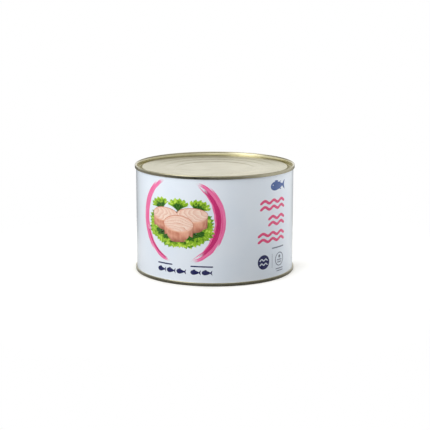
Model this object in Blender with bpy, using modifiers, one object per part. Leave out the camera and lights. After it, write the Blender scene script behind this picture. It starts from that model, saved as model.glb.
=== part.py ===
"""A shut catering tuna can: a straight tinplate body between two double-seamed ends.

Metres, +Z up. The origin is the middle of the ring that the can stands on, and the front of the can
looks along -Y.
"""

import math

import bpy

MM = 0.001

# Driving dimensions
CAN_HEIGHT = 104.8 * MM
SEAM_RADIUS = 78.5 * MM
BODY_RADIUS = 77.3 * MM
SEAM_HEIGHT = 3.1 * MM
SHEET = 0.35 * MM
GAP = 0.3 * MM

# Double seam: a crown with a narrow flat top, so that the can stands on a true plane
CROWN_RADIUS = 0.7 * MM
SEAM_FOOT_RADIUS = 0.4 * MM
HOOK_RADIUS = BODY_RADIUS + GAP
NECK_INNER_RADIUS = BODY_RADIUS - SHEET
CHUCK_RADIUS = NECK_INNER_RADIUS - GAP - SHEET

# Countersink groove round the panel
GROOVE_DEPTH = 5.1 * MM
GROOVE_FILLET = 1.1 * MM
GROOVE_OUTER_RADIUS = CHUCK_RADIUS - 0.45 * MM
GROOVE_INNER_RADIUS = 71.6 * MM

# Pressed panel: three ring steps that go down towards the middle
RIM_PANEL_DEPTH = GROOVE_DEPTH - 2 * GROOVE_FILLET
STEP_RADII = (60.0 * MM, 50.5 * MM, 39.2 * MM)
STEP_RISE = 0.7 * MM
STEP_RUN = 1.4 * MM

TURN_STEPS = 64
ROUND_EDGES = 2
SHARP_ANGLE = math.radians(40)


def clear_scene():
    for item in list(bpy.data.objects):
        bpy.data.objects.remove(item, do_unlink=True)


def new_material(name, colour, roughness, metallic):
    material = bpy.data.materials.new(name)
    material.use_nodes = True
    shader = material.node_tree.nodes["Principled BSDF"]
    shader.inputs["Base Color"].default_value = (*colour, 1.0)
    shader.inputs["Roughness"].default_value = roughness
    shader.inputs["Metallic"].default_value = metallic
    material.diffuse_color = (*colour, 1.0)
    return material


def new_collection(name):
    collection = bpy.data.collections.new(name)
    bpy.context.scene.collection.children.link(collection)
    return collection


def arc(radius, depth, size, start, end):
    """Points of a quarter round in an end's section, from the start angle to the end angle in degrees.

    A section's points are (radius from the axis, depth below the seam's crown).
    """
    turns = [math.radians(start + (end - start) * step / ROUND_EDGES) for step in range(ROUND_EDGES + 1)]
    return [(radius + size * math.cos(turn), depth - size * math.sin(turn)) for turn in turns]


def panel_section():
    """The panel's outer face, from the axis up its ring steps to the shoulder of the groove."""
    depth = RIM_PANEL_DEPTH + STEP_RISE * len(STEP_RADII)
    points = [(0.0, depth)]
    for radius in reversed(STEP_RADII):
        points.append((radius - STEP_RUN / 2, depth))
        depth -= STEP_RISE
        points.append((radius + STEP_RUN / 2, depth))
    return points


def groove_section():
    """The shoulder, the countersink groove and the foot of the chuck wall."""
    middle = GROOVE_DEPTH - GROOVE_FILLET
    shoulder = arc(GROOVE_INNER_RADIUS - GROOVE_FILLET, middle, GROOVE_FILLET, 90, 0)
    inner_round = arc(GROOVE_INNER_RADIUS + GROOVE_FILLET, middle, GROOVE_FILLET, 180, 270)
    outer_round = arc(GROOVE_OUTER_RADIUS - GROOVE_FILLET, middle, GROOVE_FILLET, 270, 360)
    return shoulder + inner_round[1:] + outer_round


def offset(points, distance):
    """The same line set below itself by the distance, with mitred corners."""
    moved = []
    for index, (radius, depth) in enumerate(points):
        before = points[max(index - 1, 0)]
        after = points[min(index + 1, len(points) - 1)]
        turns = []
        for start, end in ((before, (radius, depth)), ((radius, depth), after)):
            if start != end:
                turns.append(math.atan2(end[1] - start[1], end[0] - start[0]))
        middle = sum(turns) / len(turns)
        reach = distance / math.cos(turns[0] - middle)
        moved.append((radius - reach * math.sin(middle), depth + reach * math.cos(middle)))
    moved[0] = (points[0][0], moved[0][1])
    return moved


def end_section():
    """One end's closed section: outer face, seam crown, hook over the body, and underside."""
    face = panel_section() + groove_section() + [(CHUCK_RADIUS, CROWN_RADIUS)]
    crown = arc(CHUCK_RADIUS + CROWN_RADIUS, CROWN_RADIUS, CROWN_RADIUS, 180, 90)
    crown += arc(SEAM_RADIUS - CROWN_RADIUS, CROWN_RADIUS, CROWN_RADIUS, 90, 0)
    foot = [
        (SEAM_RADIUS, SEAM_HEIGHT - SEAM_FOOT_RADIUS),
        (SEAM_RADIUS - SEAM_FOOT_RADIUS, SEAM_HEIGHT),
        (HOOK_RADIUS, SEAM_HEIGHT),
    ]
    hook = [(HOOK_RADIUS, CROWN_RADIUS), (CHUCK_RADIUS + SHEET, CROWN_RADIUS)]
    underside = offset(face, SHEET)[-2::-1]
    return face + crown[1:] + foot + hook + underside


def body_section():
    """Half of the body's section, from the axis to the neck that the seam's hook covers."""
    clear_round = GROOVE_FILLET + SHEET + GAP
    middle = GROOVE_DEPTH - GROOVE_FILLET
    fill = [(0.0, middle + clear_round)]
    fill += arc(GROOVE_OUTER_RADIUS - GROOVE_FILLET, middle, clear_round, 270, 360)
    neck_top = CROWN_RADIUS + GAP
    return fill + [(NECK_INNER_RADIUS, neck_top), (BODY_RADIUS, neck_top)]


def at_top(section):
    return [(radius, CAN_HEIGHT - depth) for radius, depth in section]


def at_bottom(section):
    """The same section turned over to the can's foot, run from top to bottom again."""
    return [(radius, depth) for radius, depth in reversed(section)]


def turned(name, profile, collection, material):
    """Turn a profile of (radius, height) points about the can's axis into one closed solid."""
    outline = bpy.data.meshes.new(name)
    points = [(radius, 0.0, height) for radius, height in profile]
    outline.from_pydata(points, [(index, index + 1) for index in range(len(points) - 1)], [])
    piece = bpy.data.objects.new(name, outline)
    collection.objects.link(piece)
    screw = piece.modifiers.new("Turn", "SCREW")
    screw.axis = "Z"
    screw.angle = math.tau
    screw.steps = TURN_STEPS
    screw.render_steps = TURN_STEPS
    screw.use_merge_vertices = True
    screw.merge_threshold = 0.0001
    graph = bpy.context.evaluated_depsgraph_get()
    solid = bpy.data.meshes.new_from_object(piece.evaluated_get(graph))
    piece.modifiers.clear()
    piece.data = solid
    bpy.data.meshes.remove(outline)
    solid.name = name
    solid.shade_smooth()
    solid.set_sharp_from_angle(angle=SHARP_ANGLE)
    solid.materials.append(material)
    return piece


def main():
    clear_scene()
    can = new_collection("tuna_can")
    printed = new_material("printed_wall", (0.80, 0.84, 0.88), 0.30, 0.0)
    lacquer = new_material("lacquered_tinplate", (0.62, 0.59, 0.46), 0.32, 0.9)
    turned("can_body", at_top(body_section()) + at_bottom(body_section()), can, printed)
    turned("top_end", at_top(end_section()), can, lacquer)
    turned("bottom_end", at_bottom(end_section()), can, lacquer)


main()
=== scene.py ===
"""Looks of a shut catering tuna can: lacquered ends, varnished printed wall, and the studio round it."""

import math

import bpy
from bpy.props import FloatProperty, FloatVectorProperty, IntProperty, PointerProperty
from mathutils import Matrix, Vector


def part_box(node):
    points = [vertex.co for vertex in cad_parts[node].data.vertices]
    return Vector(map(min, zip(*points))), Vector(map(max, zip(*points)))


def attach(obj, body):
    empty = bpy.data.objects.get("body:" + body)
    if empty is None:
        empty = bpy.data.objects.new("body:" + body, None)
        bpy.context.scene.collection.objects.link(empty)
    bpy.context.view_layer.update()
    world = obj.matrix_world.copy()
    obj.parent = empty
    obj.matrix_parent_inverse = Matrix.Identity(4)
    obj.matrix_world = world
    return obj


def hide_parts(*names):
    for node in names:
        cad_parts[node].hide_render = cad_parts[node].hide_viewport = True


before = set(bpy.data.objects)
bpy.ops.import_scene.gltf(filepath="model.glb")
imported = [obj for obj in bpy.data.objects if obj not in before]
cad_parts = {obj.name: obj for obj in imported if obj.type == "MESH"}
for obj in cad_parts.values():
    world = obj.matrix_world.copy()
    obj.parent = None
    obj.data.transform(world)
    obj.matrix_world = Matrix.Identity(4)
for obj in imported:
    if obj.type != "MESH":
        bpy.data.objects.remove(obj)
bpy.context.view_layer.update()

bl_info = {
    "name": "Tuna Can",
    "version": (1, 0, 0),
    "blender": (4, 5, 0),
    "location": "View3D > Sidebar > Can",
    "description": "Dresses the solids of a shut tuna can with lacquer, varnish and print",
    "category": "Add Mesh",
}

MM = 0.001

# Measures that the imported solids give
WALL_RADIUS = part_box("can_body")[1].x
SEAM_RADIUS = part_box("top_end")[1].x
CAN_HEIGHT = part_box("top_end")[1].z
NECK_TOP = CAN_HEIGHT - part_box("can_body")[1].z

# Cut of the section of an end, as the solids have it
SHEET = 0.35 * MM
GAP = 0.3 * MM
HOOK_TOP = NECK_TOP - GAP
CHUCK_RADIUS = WALL_RADIUS - 2 * SHEET - GAP
GROOVE_OUTER = CHUCK_RADIUS - 0.45 * MM
CROWN_TOP = SEAM_RADIUS - 0.7 * MM
FINE_STEPS = 256
ROUND_EDGES = 7
CREASE = math.radians(38)

# Camera that took the picture, worked out from the can's outline
PICTURE_WIDTH = 430
FOCAL_PIXELS = 1208.0
SENSOR_WIDTH = 36.0
CAMERA_PLACE = (0.25 * MM, -1175.2 * MM, 289.3 * MM)
CAMERA_PITCH = math.radians(11.38)

# Room round the can: ways to the soft patches and to the shaded side, and the tint of its warm parts
WAY_TO_KEY = (-0.70, -0.51, 0.50)
WAY_TO_TOP = (-0.17, 0.55, 0.82)
WAY_TO_SHADE = (0.87, -0.50, 0.0)
WARM_LIGHT = (1.0, 0.965, 0.85)

# Layout of the print on the unrolled wall in millimetres: (arc to the right of the front line, height)
FRAME_CENTRE = (-35.5, 61.5)
DISH_CENTRE = (-35.5, 58.0)
ROUND_FLATNESS = 0.45
TITLE_RIGHT = 80.1
WELD_MIDDLE = math.radians(95) * WALL_RADIUS / MM
TABLE_MIDDLE = -math.radians(101) * WALL_RADIUS / MM
TABLE_HALF = 14.5

# Welded side seam: the bare margin and the bead
MARGIN_HALF = 6.0
BEAD_HALF = 0.6
BEAD_RISE = 0.10 * MM
BEAD_PITCH = 1.0 * MM

# Finish of the wall, fixed colours of wear, and how far the floor is full and how far it reaches
VARNISH_ROUGHNESS = 0.195
RUBBED_INK = (0.50, 0.50, 0.48)
LACQUER_SPECK = (0.22, 0.19, 0.11)
WELD_TINT = (0.20, 0.17, 0.15)
FLOOR_FULL = 0.09
FLOOR_END = 0.32


def srgb(red, green, blue):
    """A colour read in 0..255 screen values, as the linear values that a shader takes."""
    return tuple(((value / 255 + 0.055) / 1.055) ** 2.4 for value in (red, green, blue))


def a_length(name, description, millimetres):
    return FloatProperty(name=name, description=description, default=millimetres * MM, unit="LENGTH")


def a_colour(name, description, colour):
    return FloatVectorProperty(name=name, description=description, default=colour, subtype="COLOR")


def a_power(name, description, watts):
    return FloatProperty(name=name, description=description, default=watts, unit="POWER")


def a_level(name, description, value):
    return FloatProperty(name=name, description=description, default=value)


class CanSizes(bpy.types.PropertyGroup):
    """Sizes of the pressed ends and of the print."""

    seam_height: a_length("Seam Height", "Height of the double seam", 3.3)
    crown_inner: a_length("Crown Inner Height", "Fall of the crown towards the lid", 1.6)
    crown_outer: a_length("Crown Outer Height", "Fall of the crown on the outside", 0.75)
    groove_depth: a_length("Groove Depth", "Depth of the countersink groove", 5.1)
    groove_round: a_length("Groove Round", "Rounding of the groove", 1.1)
    groove_inner: a_length("Groove Inner Radius", "Where the panel drops away", 71.6)
    ring_radii: FloatVectorProperty(
        name="Ring Radii",
        description="Radii of the pressed ring steps",
        default=(39.2 * MM, 50.5 * MM, 60.0 * MM),
        unit="LENGTH",
    )
    panel_depth: a_length("Panel Depth", "Depth of the panel's outer edge", 2.5)
    outer_rise: a_length("Outer Rise", "Rise of the panel outside the last ring", 0.4)
    ring_rise: a_length("Ring Rise", "Height of one ring step", 0.6)
    ring_run: a_length("Ring Run", "Width of one ring step", 2.3)
    ring_slope: a_length("Ring Slope", "Rise of the band between two steps", 0.44)
    ink_film: a_length("Ink Film", "Thickness of one layer of ink", 0.025)
    turn_steps: IntProperty(name="Turn Steps", description="Facets round the can", default=FINE_STEPS)


class CanColours(bpy.types.PropertyGroup):
    """Colours of the metal and of the inks."""

    wall: a_colour("Wall", "White base coat", (0.735, 0.795, 0.875))
    lacquer: a_colour("Lacquer", "Gold lacquer over tinplate", (0.54, 0.50, 0.31))
    tin: a_colour("Tin", "Tinplate where the lacquer is worn", (0.66, 0.65, 0.60))
    rose: a_colour("Rose", "Main pink ink", srgb(222, 64, 132))
    magenta: a_colour("Magenta", "Deep pink ink", srgb(158, 8, 84))
    blush: a_colour("Blush", "Light pink ink", srgb(240, 140, 186))
    title: a_colour("Title", "Pink of the title waves", srgb(214, 66, 116))
    navy: a_colour("Navy", "Dark blue ink", srgb(30, 34, 84))
    sea: a_colour("Sea", "Mid blue ink", srgb(58, 88, 148))
    grey: a_colour("Grey", "Small grey print", srgb(112, 118, 134))


class StageSettings(bpy.types.PropertyGroup):
    """Light of the studio."""

    key_power: a_power("Key", "Power of the left softbox", 3.95)
    top_power: a_power("Top", "Power of the upper softbox", 8.5)
    rim_power: a_power("Rim", "Power of the right softbox", 4.3)
    back_wall: a_level("Back Wall", "Brightness of the wall behind the can", 1.30)
    front_wall: a_level("Front Wall", "Brightness in front of the can", 1.30)
    ceiling: a_level("Ceiling", "Brightness above the can", 0.35)
    shade: a_level("Shade", "How much darker the room is on the right", 0.42)
    low_back: a_level("Low Back", "How much darker the back wall is at its foot", 0.50)
    fill: a_level("Fill", "Even light from all round on matt surfaces", 0.10)
    overhead: a_level("Overhead", "Light over the can that the lid mirrors", 0.45)
    glow: a_level("Glow", "Soft patch of light that the metal mirrors", 2.2)


# Modelling helpers


def deselect_all():
    bpy.ops.object.select_all(action="DESELECT")


def select_only(*pieces):
    deselect_all()
    for piece in pieces:
        piece.select_set(True)
    bpy.context.view_layer.objects.active = pieces[0]


def finish_surface(piece):
    """Merge doubles, turn the faces outwards and shade smooth up to the angle of a crease."""
    select_only(piece)
    bpy.ops.object.mode_set(mode="EDIT")
    bpy.ops.mesh.select_all(action="SELECT")
    bpy.ops.mesh.remove_doubles(threshold=1e-6)
    bpy.ops.mesh.normals_make_consistent(inside=False)
    bpy.ops.object.mode_set(mode="OBJECT")
    bpy.ops.object.shade_smooth_by_angle(angle=CREASE)


def hand_over(piece):
    """Give the finished piece to the can's only body."""
    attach(piece, "root")


def join(name, pieces):
    select_only(*pieces)
    bpy.ops.object.join()
    whole = bpy.context.object
    whole.name = name
    whole.data.name = name
    return whole


def spun(name, section, steps):
    """Extrude a vertex along the section of (radius, height) points and spin the line round the axis."""
    deselect_all()
    bpy.ops.mesh.primitive_plane_add(size=MM)
    piece = bpy.context.object
    piece.name = name
    piece.data.name = name
    bpy.ops.object.mode_set(mode="EDIT")
    bpy.ops.mesh.select_mode(type="VERT")
    bpy.ops.mesh.select_all(action="SELECT")
    bpy.ops.mesh.merge(type="CENTER")
    radius, height = section[0]
    bpy.ops.transform.translate(value=(radius, 0, height))
    for (radius, height), (next_radius, next_height) in zip(section, section[1:]):
        move = {"value": (next_radius - radius, 0, next_height - height)}
        bpy.ops.mesh.extrude_vertices_move(TRANSFORM_OT_translate=move)
    bpy.ops.mesh.select_all(action="SELECT")
    bpy.ops.mesh.spin(steps=steps, angle=math.tau, center=(0, 0, 0), axis=(0, 0, 1))
    bpy.ops.object.mode_set(mode="OBJECT")
    finish_surface(piece)
    return piece


def on_wall(arc, height):
    """The point of the wall at an arc to the right of the front line, both in millimetres."""
    turn = arc * MM / WALL_RADIUS
    return Vector((WALL_RADIUS * math.sin(turn), -WALL_RADIUS * math.cos(turn), height * MM))


def film(shape, columns, rows, material, layer=1):
    """A film of ink rolled onto the wall.

    shape(along, across) takes 0..1 twice and gives (arc, height) on the unrolled wall in millimetres.
    A higher layer lies over a lower one.
    """
    deselect_all()
    bpy.ops.mesh.primitive_grid_add(x_subdivisions=columns, y_subdivisions=rows, size=1, calc_uvs=True)
    piece = bpy.context.object
    for vertex in piece.data.vertices:
        vertex.co = on_wall(*shape(vertex.co.x + 0.5, vertex.co.y + 0.5))
    thick = piece.modifiers.new("Film", "SOLIDIFY")
    thick.thickness = 2 * layer * bpy.context.scene.can_sizes.ink_film
    thick.offset = 0
    bpy.ops.object.modifier_apply(modifier=thick.name)
    finish_surface(piece)
    piece.data.materials.append(material)
    return piece


def ribbon(path, half_width):
    """A band that follows path(along), with half_width(along) to each side."""
    step = 1e-4

    def shape(along, across):
        before = Vector(path(along - step))
        after = Vector(path(along + step))
        side = (after - before).normalized().orthogonal()
        point = Vector(path(along)) + side * half_width(along) * (2 * across - 1)
        return point.x, point.y

    return shape


def uneven(turn, phase):
    """Reach of a hand-cut round's outline in a direction, close to 1."""
    return 1 + 0.040 * math.sin(2 * turn + phase) + 0.026 * math.sin(3 * turn + 2.3 * phase)


def disc(centre, width, height, phase=None):
    """A filled ellipse without a pole: a grid pressed into a round. A phase makes its outline uneven."""

    def shape(along, across):
        x, y = 2 * along - 1, 2 * across - 1
        round_x = x * math.sqrt(1 - y * y / 2)
        round_y = y * math.sqrt(1 - x * x / 2)
        reach = 1.0 if phase is None else uneven(math.atan2(round_y, round_x), phase)
        return centre[0] + reach * round_x * width / 2, centre[1] + reach * round_y * height / 2

    return shape


def bar(start, end, width):
    """A straight bar with round ends, between two points of the unrolled wall."""
    length = math.dist(start, end)

    def eased(along):
        return 0.5 - 0.5 * math.cos(math.pi * min(max(along, 0.0), 1.0))

    def path(along):
        part = eased(along) + (along - 0.5) * 1e-3
        return start[0] + (end[0] - start[0]) * part, start[1] + (end[1] - start[1]) * part

    def half_width(along):
        part = eased(along)
        inset = max(0.0, width / 2 - min(part, 1 - part) * length)
        return math.sqrt(max((width / 2) ** 2 - inset**2, (0.04 * width) ** 2))

    return ribbon(path, half_width)


def level_bar(left, right, height, width):
    return bar((left, height), (right, height), width)


def back_copy(piece):
    """Turn a copy of a film half round the can, so that the back shows the same face, and join the two."""
    select_only(piece)
    bpy.ops.object.duplicate()
    copy = bpy.context.object
    bpy.ops.transform.rotate(value=math.pi, orient_axis="Z", center_override=(0, 0, 0))
    bpy.ops.object.transform_apply(location=True, rotation=True, scale=True)
    return join(piece.name, [piece, copy])


def printed(name, films, both_faces=True):
    """Join films into one piece of print, repeat it on the back, and hand it over."""
    piece = join(name, films)
    if both_faces:
        piece = back_copy(piece)
    hand_over(piece)


# Shader helpers


def tinted(colour, tint):
    return tuple(channel * factor for channel, factor in zip(colour, tint))


def fill_inputs(tree, node, inputs):
    """Link other nodes' outputs to a node's inputs, and set the rest on the inputs themselves."""
    for key, value in inputs.items():
        if isinstance(value, bpy.types.NodeSocket):
            tree.links.new(value, node.inputs[key])
        else:
            node.inputs[key].default_value = value


def add_node(tree, kind, inputs=None, **settings):
    node = tree.nodes.new("ShaderNode" + kind)
    for name, value in settings.items():
        setattr(node, name, value)
    fill_inputs(tree, node, inputs or {})
    return node


def maths(tree, operation, *values, clamp=False):
    inputs = dict(enumerate(values))
    return add_node(tree, "Math", inputs, operation=operation, use_clamp=clamp).outputs[0]


def times(tree, first, second):
    return maths(tree, "MULTIPLY", first, second)


def times_plus(tree, first, second, third, clamp=False):
    return maths(tree, "MULTIPLY_ADD", first, second, third, clamp=clamp)


def minus(tree, first, second):
    return maths(tree, "SUBTRACT", first, second)


def vector_maths(tree, operation, *vectors):
    node = add_node(tree, "VectorMath", dict(enumerate(vectors)), operation=operation)
    return node.outputs["Vector" if operation == "SUBTRACT" else "Value"]


def split_xyz(tree, vector):
    return add_node(tree, "SeparateXYZ", {0: vector}).outputs


def ramp(tree, value, low, high, start=0.0, end=1.0):
    """Where the value goes from low to high, the result goes smoothly from start to end."""
    inputs = {"Value": value, "From Min": low, "From Max": high, "To Min": start, "To Max": end}
    return add_node(tree, "MapRange", inputs, interpolation_type="SMOOTHSTEP").outputs[0]


def mixed(tree, factor, first, second):
    """The first colour where the factor is 0, the second where it is 1."""
    first = first if isinstance(first, bpy.types.NodeSocket) else (*first, 1.0)
    second = second if isinstance(second, bpy.types.NodeSocket) else (*second, 1.0)
    inputs = {0: factor, 6: first, 7: second}
    return add_node(tree, "Mix", inputs, data_type="RGBA").outputs[2]


def stretched(tree, vector, scale):
    return add_node(tree, "Mapping", {"Vector": vector, "Scale": scale}).outputs[0]


def noise(tree, vector, scale, detail=2.0, roughness=0.5):
    inputs = {"Vector": vector, "Scale": scale, "Detail": detail, "Roughness": roughness}
    return add_node(tree, "TexNoise", inputs).outputs["Fac"]


def shared_effect(name, inputs, outputs, build):
    """A node group with named sockets, built once. build(tree, entry) returns one socket for each output."""
    group = bpy.data.node_groups.get(name)
    if group is not None:
        return group
    group = bpy.data.node_groups.new(name, "ShaderNodeTree")
    for label, default in inputs.items():
        socket = group.interface.new_socket(name=label, in_out="INPUT", socket_type="NodeSocketFloat")
        socket.default_value = default
    for label in outputs:
        group.interface.new_socket(name=label, in_out="OUTPUT", socket_type="NodeSocketFloat")
    entry = group.nodes.new("NodeGroupInput")
    leave = group.nodes.new("NodeGroupOutput")
    for label, socket in zip(outputs, build(group, entry)):
        group.links.new(socket, leave.inputs[label])
    return group


def place_effect(tree, group, inputs=None):
    return add_node(tree, "Group", inputs, node_tree=group).outputs


def object_place(tree):
    return add_node(tree, "TexCoord").outputs["Object"]


def film_place(tree):
    return add_node(tree, "TexCoord").outputs["UV"]


def varnish_effect():
    """Clear varnish: the faint ripple it dries with, handling smears, and scuffs close to the seams."""

    def build(tree, entry):
        place = object_place(tree)
        ripple = noise(tree, place, 420.0, 2.0)
        smear = noise(tree, stretched(tree, place, (1.0, 1.0, 0.35)), 46.0, 4.0, 0.6)
        scuff = noise(tree, stretched(tree, place, (1.0, 1.0, 3.0)), 700.0, 3.0, 0.7)
        height = split_xyz(tree, place)["Z"]
        middle = maths(tree, "ABSOLUTE", minus(tree, height, CAN_HEIGHT / 2))
        near_seam = ramp(tree, middle, CAN_HEIGHT / 2 - 9 * MM, CAN_HEIGHT / 2 - 3 * MM)
        rubbed = times(tree, near_seam, ramp(tree, scuff, 0.52, 0.68))
        rough = times_plus(tree, smear, entry.outputs["Smears"], VARNISH_ROUGHNESS)
        rough = times_plus(tree, rubbed, 0.22, rough, clamp=True)
        return rough, ripple, rubbed

    return shared_effect("Varnish", {"Smears": 0.08}, ("Roughness", "Ripple", "Rubbed"), build)


def rolled_effect():
    """Rolled tinplate: long fine grain along the sheet, and broad clouds in the lacquer."""

    def build(tree, entry):
        place = object_place(tree)
        grain = noise(tree, stretched(tree, place, (14.0, 900.0, 14.0)), 1.0, 3.0, 0.6)
        cloud = noise(tree, place, entry.outputs["Cloud Scale"], 3.0, 0.55)
        speck = ramp(tree, noise(tree, place, 2600.0, 1.0), 0.66, 0.76)
        return grain, cloud, speck

    return shared_effect("Rolled Tinplate", {"Cloud Scale": 30.0}, ("Grain", "Cloud", "Speck"), build)


def tooling_effect():
    """Marks that the seaming roll leaves, wear on the seam, and a mask of painted shade over the panel's
    outer part towards the seam.
    """

    def build(tree, entry):
        place = object_place(tree)
        split = split_xyz(tree, place)
        across = maths(tree, "POWER", split["X"], 2.0)
        radius = maths(tree, "SQRT", times_plus(tree, split["Y"], split["Y"], across))
        turn = maths(tree, "ARCTAN2", split["Y"], split["X"])
        track = add_node(tree, "CombineXYZ", {0: radius, 1: split["Z"]}).outputs[0]
        marks = noise(tree, track, entry.outputs["Mark Scale"], 2.0, 0.6)
        on_seam = ramp(tree, radius, CHUCK_RADIUS - 0.6 * MM, CHUCK_RADIUS + 0.4 * MM)
        blotch = noise(tree, place, 130.0, 4.0, 0.7)
        corner = ramp(tree, radius, SEAM_RADIUS - 0.32 * MM, SEAM_RADIUS - 0.05 * MM)
        worn = times(tree, ramp(tree, blotch, 0.52, 0.70), corner)
        sway = maths(tree, "SINE", times(tree, turn, 9.0))
        marks = times_plus(tree, sway, 0.06, marks)
        # Painted shade mask: rises from 42 mm to 64 mm radius and holds up to the chuck wall, leaving the
        # seam out.
        painted_shade_band = minus(tree, ramp(tree, radius, 42 * MM, 64 * MM), on_seam)
        return times(tree, marks, on_seam), worn, on_seam, painted_shade_band

    outputs = ("Marks", "Worn", "On Seam", "Painted Shade Band")
    return shared_effect("Seaming Marks", {"Mark Scale": 2400.0}, outputs, build)


def stroke_effect():
    """Paint laid by a broad brush: streaks along the stroke, split ends, and thin edges."""

    def build(tree, entry):
        place = film_place(tree)
        streaks = noise(tree, stretched(tree, place, (3.0, 26.0, 1.0)), 1.0, 5.0, 0.6)
        fine = noise(tree, stretched(tree, place, (9.0, 90.0, 1.0)), 1.0, 2.0)
        split = split_xyz(tree, place)
        from_tip = maths(tree, "MINIMUM", split["X"], minus(tree, 1.0, split["X"]))
        dry = ramp(tree, from_tip, 0.0, entry.outputs["Dry Tip"], 0.34, 0.0)
        paint = maths(tree, "ADD", streaks, times(tree, fine, 0.2))
        bare = ramp(tree, maths(tree, "ADD", dry, times(tree, paint, 0.7)), 0.58, 0.70)
        tone = ramp(tree, paint, 0.42, 0.78)
        return tone, bare

    return shared_effect("Brush Stroke", {"Dry Tip": 0.16}, ("Tone", "Bare"), build)


def new_material(name):
    material = bpy.data.materials.new(name)
    material.use_nodes = True
    tree = material.node_tree
    return material, tree, tree.nodes["Principled BSDF"]


def bumped(tree, height, strength, distance):
    inputs = {"Height": height, "Strength": strength, "Distance": distance}
    return add_node(tree, "Bump", inputs).outputs[0]


def varnished(name, colour_of):
    """A coat of ink under clear varnish. colour_of(tree) gives the ink's colour."""
    material = bpy.data.materials.get(name)
    if material is not None:
        return material
    material, tree, shader = new_material(name)
    varnish = place_effect(tree, varnish_effect(), {"Smears": 0.08})
    colour = colour_of(tree)
    inputs = {
        "Base Color": mixed(tree, times(tree, varnish["Rubbed"], 0.10), colour, RUBBED_INK),
        "Roughness": varnish["Roughness"],
        "Normal": bumped(tree, varnish["Ripple"], 0.02, 0.3 * MM),
        "Coat Weight": 0.6,
        "Coat Roughness": 0.14,
    }
    fill_inputs(tree, shader, inputs)
    return material


def plain_ink(name, colour):
    """An even ink whose strength wavers a little, as offset print does."""

    def colour_of(tree):
        waver = noise(tree, object_place(tree), 260.0, 3.0, 0.6)
        thin = tuple(min(1.0, channel * 1.12 + 0.02) for channel in colour)
        return mixed(tree, ramp(tree, waver, 0.35, 0.75), colour, thin)

    return varnished(name, colour_of)


def white_coat():
    """The wall's white base coat, a little cooler in the clouds where it is thin over the metal."""

    def colour_of(tree):
        wall = bpy.context.scene.can_colours.wall
        cloud = noise(tree, object_place(tree), 24.0, 4.0, 0.55)
        return mixed(tree, ramp(tree, cloud, 0.35, 0.7), wall, tinted(wall, (0.955, 0.97, 0.985)))

    return varnished("white_coat", colour_of)


def brushed_ink(name, main, streak, dry_tip=0.16):
    """Ink that shows the streaks of a brush, with the white coat between the hairs."""

    def colour_of(tree):
        stroke = place_effect(tree, stroke_effect(), {"Dry Tip": dry_tip})
        paint = mixed(tree, stroke["Tone"], main, streak)
        return mixed(tree, stroke["Bare"], paint, bpy.context.scene.can_colours.wall)

    return varnished(name, colour_of)


def cut_face_ink(name, middle):
    """Upper face of a round of cooked fish: flakes that lie in open bows, each shaded to its edge."""

    def colour_of(tree):
        place = film_place(tree)
        split = split_xyz(tree, vector_maths(tree, "SUBTRACT", place, (*middle, 0.0)))
        turn = maths(tree, "ARCTAN2", split["Y"], split["X"])
        reach = vector_maths(tree, "DISTANCE", place, (*middle, 0.0))
        warp = noise(tree, stretched(tree, place, (2.2, 2.2, 1.0)), 1.0, 1.0)
        bows = times_plus(tree, reach, 5.6, times(tree, warp, 1.9))
        flake = maths(tree, "FRACT", bows)
        fibre_way = add_node(tree, "CombineXYZ", {0: times(tree, turn, 26.0), 1: bows})
        fibre = noise(tree, fibre_way.outputs[0], 1.0, 3.0, 0.65)
        tone = times_plus(tree, fibre, 0.9, times(tree, flake, 0.45))
        flesh = mixed(tree, ramp(tree, tone, 0.35, 1.05), srgb(240, 218, 204), srgb(222, 176, 156))
        from_centre = vector_maths(tree, "DISTANCE", place, (0.5, 0.5, 0.0))
        flesh = mixed(tree, ramp(tree, from_centre, 0.40, 0.62, 0.0, 0.5), flesh, srgb(226, 160, 134))
        gap = ramp(tree, flake, 0.86, 0.99, 0.0, 0.6)
        gap = times(tree, gap, ramp(tree, noise(tree, object_place(tree), 300.0), 0.35, 0.6))
        return mixed(tree, gap, flesh, srgb(188, 122, 100))

    return varnished(name, colour_of)


def fibre_ink():
    """Side of a round of fish: upright fibres, darker towards the foot and round the sides."""

    def colour_of(tree):
        place = film_place(tree)
        fibres = noise(tree, stretched(tree, place, (15.0, 1.8, 1.0)), 1.0, 2.0, 0.5)
        bands = noise(tree, stretched(tree, place, (5.0, 0.8, 1.0)), 1.0, 2.0)
        split = split_xyz(tree, place)
        tone = times_plus(tree, bands, 0.5, times(tree, fibres, 0.6))
        side = mixed(tree, ramp(tree, tone, 0.34, 0.74), srgb(190, 122, 98), srgb(224, 168, 144))
        rim = ramp(tree, split["Y"], 0.84, 1.0, 0.0, 0.7)
        side = mixed(tree, rim, side, srgb(240, 196, 168))
        foot = ramp(tree, split["Y"], 0.0, 0.55, 0.62, 0.0)
        turned = ramp(tree, split["X"], 0.60, 1.0, 0.0, 0.5)
        return mixed(tree, maths(tree, "MAXIMUM", foot, turned), side, srgb(126, 66, 48))

    return varnished("fibre_ink", colour_of)


def leaf_ink(name, light, dark):
    """Curled lettuce: light frills along the edge, pale ribs, and deep green folds between them."""

    def colour_of(tree):
        place = film_place(tree)
        split = split_xyz(tree, place)
        curl = noise(tree, object_place(tree), 420.0, 4.0, 0.62)
        frill = ramp(tree, split["X"], 0.45, 1.0, -0.22, 0.24)
        tone = ramp(tree, maths(tree, "ADD", curl, frill), 0.42, 0.66)
        blade = mixed(tree, tone, dark, light)
        glint = ramp(tree, times_plus(tree, frill, 0.5, curl), 0.60, 0.72, 0.0, 0.8)
        blade = mixed(tree, glint, blade, srgb(206, 232, 98))
        across = maths(tree, "SINE", times(tree, split["Y"], math.tau * 3.5))
        rib = times(tree, ramp(tree, across, 0.86, 1.0), ramp(tree, split["X"], 0.9, 0.3))
        return mixed(tree, times(tree, rib, 0.45), blade, srgb(176, 206, 110))

    return varnished(name, colour_of)


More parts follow.
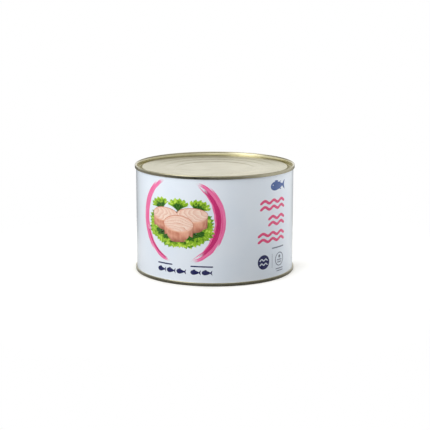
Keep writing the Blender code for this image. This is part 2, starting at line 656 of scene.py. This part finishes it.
def lacquered_tinplate():
    """Gold lacquer over rolled tinplate, with seaming marks, bright worn spots on the seam, and painted
    shade on the panel's outer part.
    """
    material, tree, shader = new_material("lacquered_tinplate")
    colours = bpy.context.scene.can_colours
    rolled = place_effect(tree, rolled_effect(), {"Cloud Scale": 34.0})
    tooling = place_effect(tree, tooling_effect(), {"Mark Scale": 2400.0})
    deep = tinted(colours.lacquer, (0.90, 0.88, 0.80))
    colour = mixed(tree, ramp(tree, rolled["Cloud"], 0.35, 0.68), colours.lacquer, deep)
    # Painted shade: the colour thick darkens and warms the panel's outer part towards the seam.
    thick = tinted(colours.lacquer, (0.81, 0.79, 0.59))
    colour = mixed(tree, tooling["Painted Shade Band"], colour, thick)
    colour = mixed(tree, times(tree, rolled["Speck"], 0.25), colour, LACQUER_SPECK)
    rubbed = times_plus(tree, tooling["On Seam"], 0.28, times(tree, tooling["Worn"], 0.25))
    colour = mixed(tree, rubbed, colour, colours.tin)
    rough = times_plus(tree, rolled["Grain"], 0.10, 0.15)
    rough = times_plus(tree, rolled["Cloud"], 0.06, rough)
    rough = times_plus(tree, tooling["On Seam"], -0.03, rough)
    rough = times_plus(tree, tooling["Marks"], 0.06, rough)
    relief = times_plus(tree, tooling["Marks"], 0.8, times(tree, rolled["Grain"], 0.5))
    inputs = {
        "Base Color": colour,
        "Roughness": rough,
        "Normal": bumped(tree, relief, 0.25, 0.05 * MM),
        "Metallic": 1.0,
        "Coat Weight": 0.5,
        "Coat Roughness": 0.16,
    }
    fill_inputs(tree, shader, inputs)
    return material


def weld_margin_material():
    """Bare lacquered strip beside the weld, with heat tint close to the bead."""
    material, tree, shader = new_material("weld_margin")
    colours = bpy.context.scene.can_colours
    rolled = place_effect(tree, rolled_effect(), {"Cloud Scale": 60.0})
    split = split_xyz(tree, film_place(tree))
    from_bead = maths(tree, "ABSOLUTE", minus(tree, split["Y"], 0.5))
    tint = ramp(tree, from_bead, 0.03, 0.16, 0.65, 0.0)
    colour = mixed(tree, rolled["Cloud"], colours.tin, colours.lacquer)
    colour = mixed(tree, tint, colour, WELD_TINT)
    rough = times_plus(tree, rolled["Grain"], 0.16, 0.24)
    fill_inputs(tree, shader, {"Base Color": colour, "Roughness": rough, "Metallic": 1.0})
    return material


def floor_material():
    """Matt white studio floor that fades into the white of the room all round the can. To every ray but the
    camera's it is dark, darkest in front of the can: painted shade on the can's lower part.
    """
    material, tree, shader = new_material("studio_floor")
    place = object_place(tree)
    tone = mixed(tree, noise(tree, place, 3.0, 3.0), (0.88, 0.88, 0.88), (0.92, 0.92, 0.92))
    seen = add_node(tree, "LightPath").outputs["Is Camera Ray"]
    depth = split_xyz(tree, place)["Y"]
    # Painted shade: the floor that the can sees is dark, from 0.06 in front of it to 0.45 behind it.
    painted_shade_floor = ramp(tree, depth, -0.07, 0.03, 0.06, 0.45)
    alpha = ramp(tree, vector_maths(tree, "LENGTH", place), FLOOR_END, FLOOR_FULL)
    colour = mixed(tree, seen, painted_shade_floor, tone)
    fill_inputs(tree, shader, {"Base Color": colour, "Alpha": alpha, "Roughness": 0.85})
    return material


# Sections of the turned pieces, as (radius, depth below the crown) points


def arc(radius, depth, size, start, end, edges=ROUND_EDGES):
    turns = [math.radians(start + (end - start) * step / edges) for step in range(edges + 1)]
    return [(radius + size * math.cos(turn), depth - size * math.sin(turn)) for turn in turns]


def ring_step(radius, depth, rise, run):
    """A pressed ring: a soft step up and outwards, with short flats before and after it."""
    flat = 0.3 * MM
    points = [(radius - run / 2 - flat, depth)]
    for step in range(ROUND_EDGES + 1):
        part = step / ROUND_EDGES
        points.append((radius + (part - 0.5) * run, depth - part * part * (3 - 2 * part) * rise))
    return points + [(radius + run / 2 + flat, depth - rise)]


def face_section(sizes):
    """Outer face of an end, from the middle of the panel to the top of the chuck wall."""
    middle = sizes.groove_depth - sizes.groove_round
    depth = sizes.panel_depth + sizes.outer_rise + sizes.ring_rise * len(sizes.ring_radii)
    points = [(0.0, depth), (sizes.ring_radii[0] / 2, depth)]
    for radius in sizes.ring_radii:
        points += ring_step(radius, depth, sizes.ring_rise - sizes.ring_slope, sizes.ring_run)
        depth -= sizes.ring_rise
    shoulder_round = 0.6 * MM
    shoulder = (sizes.groove_inner - shoulder_round, sizes.panel_depth + shoulder_round)
    points += arc(*shoulder, shoulder_round, 90, 0)
    points += arc(sizes.groove_inner + sizes.groove_round, middle, sizes.groove_round, 180, 270)[1:]
    points += arc(GROOVE_OUTER - sizes.groove_round, middle, sizes.groove_round, 270, 360)
    return points + [(CHUCK_RADIUS, sizes.crown_inner)]


def under_section(face):
    """Underside of the pressed sheet: the face set back by the sheet's thickness."""
    points = []
    for index, (radius, depth) in enumerate(face[:-1]):
        before = face[max(index - 1, 0)]
        after = face[index + 1]
        slope = math.atan2(after[1] - before[1], after[0] - before[0])
        points.append((radius - SHEET * math.sin(slope), depth + SHEET * math.cos(slope)))
    points[0] = (0.0, points[0][1])
    return points


def end_section(sizes):
    """Closed section of an end: face, seam crown, seam side, hook and underside."""
    face = face_section(sizes)
    foot_round = 0.4 * MM
    inner_side = (CROWN_TOP - CHUCK_RADIUS, sizes.crown_inner)
    outer_side = (SEAM_RADIUS - CROWN_TOP, sizes.crown_outer)
    crown = []
    for across, down in arc(0, 0, 1, 180, 0, 2 * ROUND_EDGES)[1:]:
        reach, fall = inner_side if across < 0 else outer_side
        crown.append((CROWN_TOP + reach * across, fall * (1 + down)))
    side = arc(SEAM_RADIUS - foot_round, sizes.seam_height - foot_round, foot_round, 0, -90)
    hook_radius = WALL_RADIUS + GAP
    hook = [
        (hook_radius, sizes.seam_height),
        (hook_radius, HOOK_TOP),
        (CHUCK_RADIUS + SHEET, HOOK_TOP),
    ]
    return face + crown + side + hook + under_section(face)[::-1]


def wall_section(sizes):
    """Closed section of the shut body, top to bottom: neck, straight wall, neck."""
    clear_round = sizes.groove_round + SHEET + GAP
    middle = sizes.groove_depth - sizes.groove_round
    half = [(0.0, middle + clear_round)]
    half += arc(GROOVE_OUTER - sizes.groove_round, middle, clear_round, 270, 360)
    half += [(WALL_RADIUS - SHEET, NECK_TOP), (WALL_RADIUS, NECK_TOP)]
    top = [(radius, CAN_HEIGHT - depth) for radius, depth in half]
    straight = [(WALL_RADIUS, CAN_HEIGHT * part) for part in (0.75, 0.5, 0.25)]
    return top + straight + [(radius, depth) for radius, depth in reversed(half)]


# Shapes of the print


def curved_stroke(radius, start, end, width, centre=FRAME_CENTRE):
    """A stroke bent round the frame's centre that swells in the middle and thins out at both tips."""

    def path(along):
        turn = math.radians(start + (end - start) * along)
        return centre[0] + radius * math.cos(turn), centre[1] + radius * math.sin(turn)

    def half_width(along):
        swell = math.sin(math.pi * min(max(along, 0.0), 1.0)) ** 0.55
        waver = 1 + 0.06 * math.sin(23 * along) + 0.04 * math.sin(57 * along + 1.3)
        return width / 2 * max(swell, 0.03) * waver

    return ribbon(path, half_width)


def wave(left, right, middle, height, length, thickness):
    """A running water wave of even thickness with round ends."""
    span = right - left
    turns = round(span / length)

    def path(along):
        return left + span * along, middle + height / 2 * math.sin(math.tau * turns * along - math.pi / 2)

    def half_width(along):
        from_end = min(along, 1 - along) * span
        return thickness / 2 * min(1.0, math.sqrt(max(from_end, 0.02 * thickness) / (0.5 * thickness)))

    return ribbon(path, half_width)


def fin(root, direction, length, width, sweep):
    """A pointed fin or leaf that grows from its root in a direction in degrees and is swept back."""
    heading = math.radians(direction)

    def shape(along, across):
        side = 2 * across - 1
        turn = heading + sweep * along
        half = width / 2 * max(1 - along, 0.04) ** 0.8
        x = root[0] + length * along * math.cos(turn) - side * half * math.sin(heading)
        y = root[1] + length * along * math.sin(turn) + side * half * math.cos(heading)
        return x, y

    return shape


def fish(nose, length, height):
    """Shapes of a plain fish seen from the side, nose to the left: body, tail, back fins and belly fin."""

    def body_half(along):
        return height / 2 * max(math.sin(math.pi * along**0.62), 0.05) ** 0.85

    def body(along, across):
        return nose[0] + 0.92 * length * along, nose[1] + (2 * across - 1) * body_half(along)

    def tail_path(along):
        side = 2 * along - 1
        return nose[0] + length * (0.90 + 0.13 * abs(side) ** 1.5), nose[1] + 0.52 * height * side

    def tail_half(along):
        return 0.085 * length * max(1 - abs(2 * along - 1), 0.08) ** 0.8

    def on_back(along, side):
        return nose[0] + 0.92 * length * along, nose[1] + side * 0.85 * body_half(along)

    return {
        "body": (body, 40, 8),
        "tail": (ribbon(tail_path, tail_half), 24, 2),
        "back_fin": (fin(on_back(0.38, 1), 60, 0.36 * height, 0.24 * length, -0.6), 10, 3),
        "rear_fin": (fin(on_back(0.66, 1), 58, 0.36 * height, 0.08 * length, -0.5), 10, 3),
        "belly_fin": (fin(on_back(0.68, -1), -58, 0.36 * height, 0.08 * length, 0.5), 10, 3),
    }


def frilled_leaf(root, direction, length, spread, frills, phase):
    """A curled lettuce leaf seen from above at a slant: a fan with a frilled outer edge."""
    heading, half_spread = math.radians(direction), math.radians(spread) / 2

    def shape(along, across):
        turn = heading + half_spread * (2 * across - 1) * (0.35 + 0.65 * along)
        lobes = abs(math.sin(math.pi * frills * across + phase)) ** 0.7
        lobes += 0.4 * abs(math.sin(math.pi * (2 * frills + 1) * across + 2 * phase))
        round_end = 0.90 - 0.22 * abs(2 * across - 1) ** 2.5
        reach = length * along * (round_end + 0.17 * lobes * along**2)
        return root[0] + reach * math.cos(turn), root[1] + 0.72 * reach * math.sin(turn)

    return shape


def round_side(centre, width, height, thickness, phase):
    """The side of a round that lies flat, seen from the front and above: it hangs from its lower rim."""

    def shape(along, across):
        turn = math.pi * (1 + along)
        reach = uneven(turn, phase)
        down = thickness * (1 - across) * (1 + 0.05 * math.sin(11 * along + phase))
        x = centre[0] + reach * width / 2 * math.cos(turn) * (1 - 0.03 * (1 - across))
        return x, centre[1] + reach * height / 2 * math.sin(turn) - down

    return shape


def outline_box(left, right, bottom, top, thickness, corner):
    """A thin line round a box with rounded corners."""

    def path(along):
        turn = math.tau * (along + 0.125)
        cosine, sine = math.cos(turn), math.sin(turn)
        power = 2 / corner
        x = math.copysign(abs(cosine) ** power, cosine)
        y = math.copysign(abs(sine) ** power, sine)
        return (left + right) / 2 + x * (right - left) / 2, (bottom + top) / 2 + y * (top - bottom) / 2

    return ribbon(path, lambda along: thickness / 2)


# Operators


class TIN_OT_wall(bpy.types.Operator):
    """Spin the straight wall and give it its white varnished coat"""

    bl_idname = "tin.wall"
    bl_label = "Printed Wall"

    def execute(self, context):
        sizes = context.scene.can_sizes
        wall = spun("printed_wall", wall_section(sizes), sizes.turn_steps)
        wall.data.materials.append(white_coat())
        hand_over(wall)
        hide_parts("can_body")
        return {"FINISHED"}


class TIN_OT_ends(bpy.types.Operator):
    """Spin the two pressed and double-seamed ends"""

    bl_idname = "tin.ends"
    bl_label = "Lacquered Ends"

    def execute(self, context):
        sizes = context.scene.can_sizes
        metal = lacquered_tinplate()
        section = end_section(sizes)
        top = [(radius, CAN_HEIGHT - depth) for radius, depth in section]
        bottom = [(radius, depth) for radius, depth in reversed(section)]
        for name, points, node in (("lid", top, "top_end"), ("foot", bottom, "bottom_end")):
            end = spun(name, points, sizes.turn_steps)
            end.data.materials.append(metal)
            hand_over(end)
            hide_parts(node)
        return {"FINISHED"}


class TIN_OT_side_weld(bpy.types.Operator):
    """Lay the bare strip and the bead of the welded side seam"""

    bl_idname = "tin.side_weld"
    bl_label = "Side Weld"

    def execute(self, context):
        low = context.scene.can_sizes.seam_height / MM
        high = CAN_HEIGHT / MM - low
        metal = weld_margin_material()

        def upright(along):
            return WELD_MIDDLE, high + (low - high) * along

        margin = film(ribbon(upright, lambda along: MARGIN_HALF), 24, 12, metal)
        bead = film(ribbon(upright, lambda along: BEAD_HALF), 220, 4, metal, 2)
        for vertex in bead.data.vertices:
            outwards = Vector((vertex.co.x, vertex.co.y, 0))
            if outwards.length > WALL_RADIUS:
                ripple = 1 + 0.35 * math.sin(vertex.co.z / BEAD_PITCH * math.tau)
                vertex.co += outwards.normalized() * BEAD_RISE * ripple
        weld = join("side_weld", [margin, bead])
        hand_over(weld)
        return {"FINISHED"}


class TIN_OT_round_frame(bpy.types.Operator):
    """Print the two pink crescents that frame the picture"""

    bl_idname = "tin.round_frame"
    bl_label = "Pink Round Frame"

    def execute(self, context):
        colours = context.scene.can_colours
        rose = brushed_ink("rose_stroke", colours.rose, colours.blush)
        deep = brushed_ink("magenta_stroke", colours.magenta, colours.rose, 0.22)
        blush = brushed_ink("blush_stroke", colours.blush, colours.rose, 0.25)
        strokes = (
            (40.6, -74, 66, 10.2, rose, 1),
            (40.4, 108, 262, 6.6, rose, 1),
            (44.8, -40, 52, 2.4, blush, 2),
            (42.6, 116, 236, 2.8, blush, 2),
            (39.4, -66, 58, 4.6, deep, 2),
            (39.2, 192, 256, 1.8, deep, 2),
        )
        films = [film(curved_stroke(*stroke), 160, 6, paint, layer) for *stroke, paint, layer in strokes]
        printed("print_round_frame", films)
        return {"FINISHED"}


class TIN_OT_dish(bpy.types.Operator):
    """Print the picture: three rounds of fish in a pile on curled lettuce"""

    bl_idname = "tin.dish"
    bl_label = "Fish and Leaves"

    def execute(self, context):
        light = leaf_ink("leaf_light_ink", srgb(136, 180, 44), srgb(38, 90, 24))
        dark = leaf_ink("leaf_dark_ink", srgb(86, 146, 34), srgb(18, 60, 18))
        middle, height = DISH_CENTRE
        films = []
        for step in range(11):
            direction = 156 + 22.8 * step
            turn = math.radians(direction)
            root = (middle + 15 * math.cos(turn), height + 6 * math.sin(turn) - 2)
            leaf = frilled_leaf(root, direction, 20 - 2 * (step % 2), 70, 5, 1.7 * step)
            films.append(film(leaf, 14, 48, dark, 2 + step % 2))
        for step in range(8):
            direction = 170 + 28.6 * step
            turn = math.radians(direction)
            root = (middle + 17 * math.cos(turn), height + 6 * math.sin(turn) - 4)
            leaf = frilled_leaf(root, direction, 15.5 + step % 2, 74, 5, 2.3 * step)
            films.append(film(leaf, 12, 48, light, 4 + step % 2))
        for direction, place in ((112, -17), (66, 17), (90, 0)):
            root = (middle + place, height + 11)
            leaf = frilled_leaf(root, direction, 17, 96, 6, 0.1 * direction)
            films.append(film(leaf, 12, 48, light, 4))
        fold = plain_ink("leaf_fold_ink", srgb(26, 72, 22))
        films.append(film(disc((middle, height), 46, 24), 24, 24, fold, 3))
        printed("print_leaves", films)
        pieces = []
        for layer, across, up, width, thickness, phase, bow in (
            (6, -15.5, 8.5, 28, 9.5, 0.6, (-0.12, 0.60)),
            (8, 14.5, 9.5, 29, 10.0, 2.4, (1.12, 0.72)),
            (11, 0.0, 0.5, 32, 10.5, 4.4, (0.40, -0.20)),
        ):
            centre = (middle + across, height + up)
            size = (width, ROUND_FLATNESS * width)
            face = cut_face_ink(f"cut_face_ink_{layer}", bow)
            shade = disc(centre, size[0] + 0.7, size[1] + 0.9, phase)
            pieces.append(film(shade, 22, 22, plain_ink("shade_ink", srgb(184, 116, 92)), layer - 1))
            pieces.append(film(round_side(centre, *size, thickness, phase), 40, 8, fibre_ink(), layer))
            pieces.append(film(disc(centre, *size, phase), 22, 22, face, layer + 1))
        for direction, across, up, size in (
            (200, -17, -7, 12),
            (246, -12, -10, 10),
            (290, 11, -10, 10),
            (338, 17, -7, 12),
        ):
            root = (middle + across, height + up)
            leaf = frilled_leaf(root, direction, size, 104, 6, 0.2 * direction)
            pieces.append(film(leaf, 12, 48, light, 13))
        printed("print_fish_rounds", pieces)
        return {"FINISHED"}


class TIN_OT_title(bpy.types.Operator):
    """Print three rows of pink water waves, and the blue fish over them"""

    bl_idname = "tin.title"
    bl_label = "Title Waves"

    def execute(self, context):
        colours = context.scene.can_colours
        pink = plain_ink("title_ink", colours.title)
        films = []
        for left, height in ((44.9, 74.0), (54.9, 58.4), (42.5, 42.8)):
            for line in (2.9, -2.9):
                films.append(film(wave(left, TITLE_RIGHT, height + line, 2.5, 12.4, 2.7), 120, 4, pink))
        printed("print_title_waves", films)
        sea = plain_ink("sea_ink", colours.sea)
        films = [film(*parts, sea) for parts in fish((58.0, 91.2), 21.5, 8.6).values()]
        films.append(film(disc((61.3, 92.3), 1.1, 1.1), 6, 6, white_coat(), 2))
        printed("print_blue_fish", films)
        return {"FINISHED"}


class TIN_OT_foot_rows(bpy.types.Operator):
    """Print the rows of small navy fish along the foot, with a thin bar over each row"""

    bl_idname = "tin.foot_rows"
    bl_label = "Foot Rows"

    def execute(self, context):
        navy = plain_ink("navy_ink", context.scene.can_colours.navy)
        films = []
        for left, count, caption in ((-59.5, 3, 17.5), (-23.2, 2, 21.7)):
            for step in range(count):
                shapes = fish((left + 10.9 * step, 12.8), 9.9, 4.6)
                films += [film(*shapes[name], navy) for name in ("body", "tail", "back_fin")]
            films.append(film(level_bar(left, left + caption, 18.6, 1.3), 36, 2, navy))
        printed("print_foot_rows", films)
        return {"FINISHED"}


class TIN_OT_badges(bpy.types.Operator):
    """Print the navy disc, the grey ring with a sun over waves, and the thin lines beside them"""

    bl_idname = "tin.badges"
    bl_label = "Badges"

    def execute(self, context):
        colours = context.scene.can_colours
        navy = plain_ink("navy_ink", colours.navy)
        films = [film(disc((49.8, 19.4), 14, 14), 16, 16, navy)]
        for height in (21.6, 17.4):
            films.append(film(wave(44.9, 54.7, height, 1.6, 4.9, 1.0), 48, 2, white_coat(), 2))
        printed("print_navy_badge", films)
        grey = plain_ink("grey_ink", colours.grey)
        middle = 71.9
        circle = curved_stroke(6.3, 0, 360, 0, (middle, 19.4))
        ring = ribbon(lambda along: circle(along, 0.5), lambda along: 0.45)
        films = [film(ring, 72, 2, grey)]
        films.append(film(disc((middle, 22.0), 3.2, 3.2), 8, 8, grey))
        for height, reach in ((18.7, 4.0), (16.5, 3.4)):
            films.append(film(wave(middle - reach, middle + reach, height, 0.9, 2.7, 0.8), 40, 2, grey))
        films.append(film(bar((60.8, 12.4), (60.8, 26.2), 0.4), 24, 2, grey))
        for left, right, height, size in (
            (60.3, 79.0, 31.4, 1.3),
            (66.0, 78.0, 10.2, 0.9),
            (67.5, 78.0, 8.0, 0.9),
        ):
            films.append(film(level_bar(left, right, height, size), 36, 2, grey))
        printed("print_grey_marks", films)
        return {"FINISHED"}


class TIN_OT_table(bpy.types.Operator):
    """Print the ruled table between the two faces: a thin frame and rows of grey bars"""

    bl_idname = "tin.table"
    bl_label = "Ruled Table"

    def execute(self, context):
        grey = plain_ink("grey_ink", context.scene.can_colours.grey)
        left, right = TABLE_MIDDLE - TABLE_HALF, TABLE_MIDDLE + TABLE_HALF
        films = [film(outline_box(left, right, 22, 84, 0.5, 14), 240, 2, grey)]
        for row in range(10):
            height = 77 - 5.4 * row
            reach = 8 + 2.5 * (row * 5 % 4)
            films.append(film(level_bar(left + 2.5, left + 2.5 + reach, height, 1.1), 20, 2, grey))
            films.append(film(level_bar(right - 7.5, right - 2.5, height, 1.1), 14, 2, grey))
            films.append(film(level_bar(left + 1.5, right - 1.5, height - 2.7, 0.2), 20, 1, grey))
        printed("print_table", films, both_faces=False)
        return {"FINISHED"}


class TIN_OT_stage(bpy.types.Operator):
    """Set up the pale floor, the softboxes, the room and the camera"""

    bl_idname = "tin.stage"
    bl_label = "Stage"

    def execute(self, context):
        scene = context.scene
        self.add_floor()
        self.add_lights(scene.can_stage)
        self.add_room(scene)
        self.add_camera(scene)
        scene.view_settings.view_transform = "Standard"
        return {"FINISHED"}

    def add_floor(self):
        deselect_all()
        bpy.ops.mesh.primitive_plane_add(size=2 * FLOOR_END, location=(0, 0, 0))
        floor = bpy.context.object
        floor.name = "floor"
        floor.data.materials.append(floor_material())

    def add_lights(self, stage):
        target = Vector((0, 0, CAN_HEIGHT / 2))
        boxes = (
            ("key_softbox", (-0.483, -0.405, 0.42), (0.80, 0.5), stage.key_power),
            ("top_softbox", (0.0, 0.10, 1.3), (1.6, 1.4), stage.top_power),
            ("rim_softbox", (0.563, 0.325, 0.26), (0.7, 0.7), stage.rim_power),
        )
        for name, place, size, power in boxes:
            bpy.ops.object.light_add(type="AREA", location=place)
            light = bpy.context.object
            light.name = name
            light.data.shape = "RECTANGLE"
            light.data.size, light.data.size_y = size
            light.data.energy = power
            light.visible_camera = False
            light.visible_glossy = False
            light.rotation_euler = (target - Vector(place)).to_track_quat("-Z", "Y").to_euler()

    def add_room(self, scene):
        """White walls, brightest behind the can, a dimmer ceiling, and shade below the table's edge."""
        stage = scene.can_stage
        world = bpy.data.worlds.new("studio_room")
        world.use_nodes = True
        scene.world = world
        tree = world.node_tree
        background = tree.nodes["Background"]
        way = add_node(tree, "TexCoord").outputs["Generated"]
        split = split_xyz(tree, way)
        walls = ramp(tree, split["Y"], -0.9, 0.9, stage.front_wall, stage.back_wall)
        right = vector_maths(tree, "DOT_PRODUCT", way, WAY_TO_SHADE)
        shade = ramp(tree, right, 0.50, 0.95, 0.0, stage.shade)
        walls = minus(tree, walls, shade)
        low_back = ramp(tree, split["Z"], 0.05, 0.17, 1.0, 0.0)
        low_back = times(tree, low_back, ramp(tree, split["Y"], 0.5, 0.9))
        walls = times_plus(tree, low_back, -stage.low_back, walls)
        below = ramp(tree, split["Y"], -0.90, 0.0, 0.09, 0.45)
        below = times_plus(tree, split["X"], 0.20, below, clamp=True)
        below = maths(tree, "ADD", below, ramp(tree, split["Z"], -0.30, -0.60, 0.0, 0.45))
        below = minus(tree, below, ramp(tree, split["Y"], 0.78, 0.97, 0.0, 0.33))
        over_table = ramp(tree, split["Z"], -0.03, 0.06)
        high = times_plus(tree, split["Y"], 0.12, split["Z"])
        high = ramp(tree, high, 0.275, 0.43)
        room = times_plus(tree, over_table, minus(tree, walls, below), below)
        room = times_plus(tree, high, minus(tree, stage.ceiling, room), room)
        ray = add_node(tree, "LightPath").outputs
        room = times_plus(tree, ray["Is Diffuse Ray"], stage.fill, room)
        near_key = vector_maths(tree, "DOT_PRODUCT", way, WAY_TO_KEY)
        near_top = vector_maths(tree, "DOT_PRODUCT", way, WAY_TO_TOP)
        glow = ramp(tree, near_key, 0.84, 0.985)
        glow = maths(tree, "MAXIMUM", glow, ramp(tree, near_top, 0.955, 0.995, 0.0, 0.7))
        seen_glow = times(tree, glow, ray["Is Glossy Ray"])
        room = times_plus(tree, seen_glow, stage.glow, room)
        overhead = ramp(tree, split["Z"], 0.72, 0.92)
        overhead = minus(tree, overhead, ramp(tree, split["Z"], 0.95, 1.0))
        overhead = times(tree, overhead, ramp(tree, split["Y"], -0.35, 0.05))
        overhead = times(tree, overhead, ray["Is Glossy Ray"])
        room = times_plus(tree, overhead, stage.overhead, room)
        warm = maths(tree, "MAXIMUM", high, low_back)
        warm = times(tree, warm, minus(tree, 1.0, ray["Is Camera Ray"]))
        warm = times(tree, warm, minus(tree, 1.0, seen_glow))
        colour = mixed(tree, warm, (1.0, 1.0, 1.0), WARM_LIGHT)
        strength = maths(tree, "MAXIMUM", room, ray["Is Camera Ray"])
        fill_inputs(tree, background, {"Color": colour, "Strength": strength})

    def add_camera(self, scene):
        bpy.ops.object.camera_add(location=CAMERA_PLACE, rotation=(math.pi / 2 - CAMERA_PITCH, 0, 0))
        camera = bpy.context.object
        camera.name = "camera"
        camera.data.sensor_width = SENSOR_WIDTH
        camera.data.sensor_fit = "HORIZONTAL"
        camera.data.lens = SENSOR_WIDTH * FOCAL_PIXELS / PICTURE_WIDTH
        scene.camera = camera


OPERATORS = (
    TIN_OT_wall,
    TIN_OT_ends,
    TIN_OT_side_weld,
    TIN_OT_round_frame,
    TIN_OT_dish,
    TIN_OT_title,
    TIN_OT_foot_rows,
    TIN_OT_badges,
    TIN_OT_table,
    TIN_OT_stage,
)


class TIN_PT_panel(bpy.types.Panel):
    """Sidebar panel with the can's sizes, its colours and one button for each step"""

    bl_idname = "TIN_PT_panel"
    bl_label = "Tuna Can"
    bl_space_type = "VIEW_3D"
    bl_region_type = "UI"
    bl_category = "Can"

    def draw(self, context):
        for settings in (context.scene.can_sizes, context.scene.can_colours, context.scene.can_stage):
            for name in settings.bl_rna.properties.keys():
                if name not in {"rna_type", "name"}:
                    self.layout.prop(settings, name)
        for operator in OPERATORS:
            self.layout.operator(operator.bl_idname)


CLASSES = (CanSizes, CanColours, StageSettings, *OPERATORS, TIN_PT_panel)


def register():
    for item in CLASSES:
        bpy.utils.register_class(item)
    bpy.types.Scene.can_sizes = PointerProperty(type=CanSizes)
    bpy.types.Scene.can_colours = PointerProperty(type=CanColours)
    bpy.types.Scene.can_stage = PointerProperty(type=StageSettings)


def unregister():
    del bpy.types.Scene.can_stage
    del bpy.types.Scene.can_colours
    del bpy.types.Scene.can_sizes
    for item in reversed(CLASSES):
        bpy.utils.unregister_class(item)


def main():
    register()
    for operator in OPERATORS:
        group, name = operator.bl_idname.split(".")
        getattr(getattr(bpy.ops, group), name)()
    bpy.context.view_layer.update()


if __name__ == "__main__":
    main()
